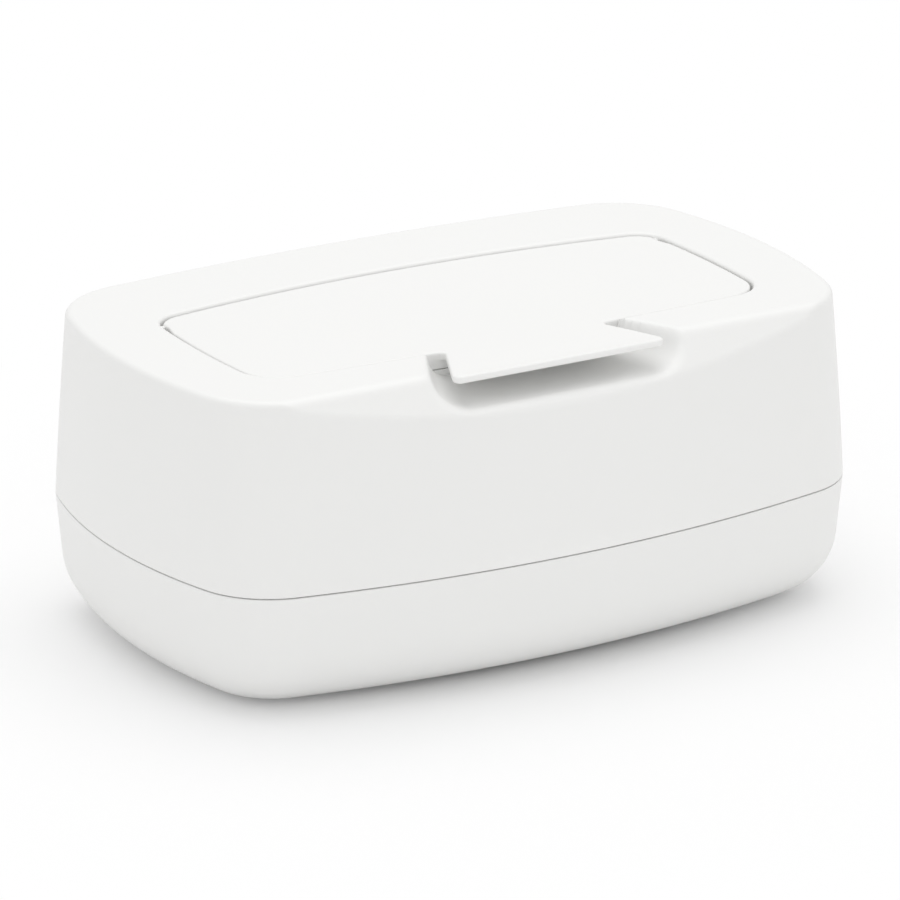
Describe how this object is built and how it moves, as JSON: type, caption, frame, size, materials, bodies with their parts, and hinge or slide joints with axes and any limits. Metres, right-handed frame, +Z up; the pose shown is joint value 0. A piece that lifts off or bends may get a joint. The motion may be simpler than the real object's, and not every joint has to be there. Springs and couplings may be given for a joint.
{
  "type": "baby wipes box",
  "caption": "Low oval plastic box for baby wipes: a lift-off cover on a shallow tray, with a flush hinged lid whose tongue reaches over a finger scoop.",
  "frame": {"origin": "middle of the box's outline, on the surface that the feet stand on", "axes": "+X along the box's long side, +Y towards the back, where the lid's pins are, and +Z up; the finger tongue points along -Y"},
  "size_m": [0.23, 0.1494, 0.0961],
  "materials": {
    "shell_plastic": "satin moulded white",
    "seal_silicone": "matt translucent white silicone",
    "plate_plastic": "fine matt moulded white",
    "foot_rubber": "soft matt grey"
  },
  "bodies": {
    "tray": {"base_tray": "shell_plastic", "presser_plate": "plate_plastic", "foot_front_left": "foot_rubber", "foot_front_right": "foot_rubber", "foot_back_left": "foot_rubber", "foot_back_right": "foot_rubber"},
    "cover": {"upper_cover": "shell_plastic"},
    "lid": {"lid": "shell_plastic", "lid_seal": "seal_silicone"}
  },
  "joints": [
    {"name": "cover_lift", "type": "slide", "parent": "tray", "child": "cover", "axis": [0, 0, 1], "range_m": [0, 0.06]},
    {"name": "lid_hinge", "type": "hinge", "parent": "cover", "child": "lid", "pos_m": [0, 0.022, 0.0939], "axis": [-1, 0, 0], "range_deg": [0, 105]}
  ]
}
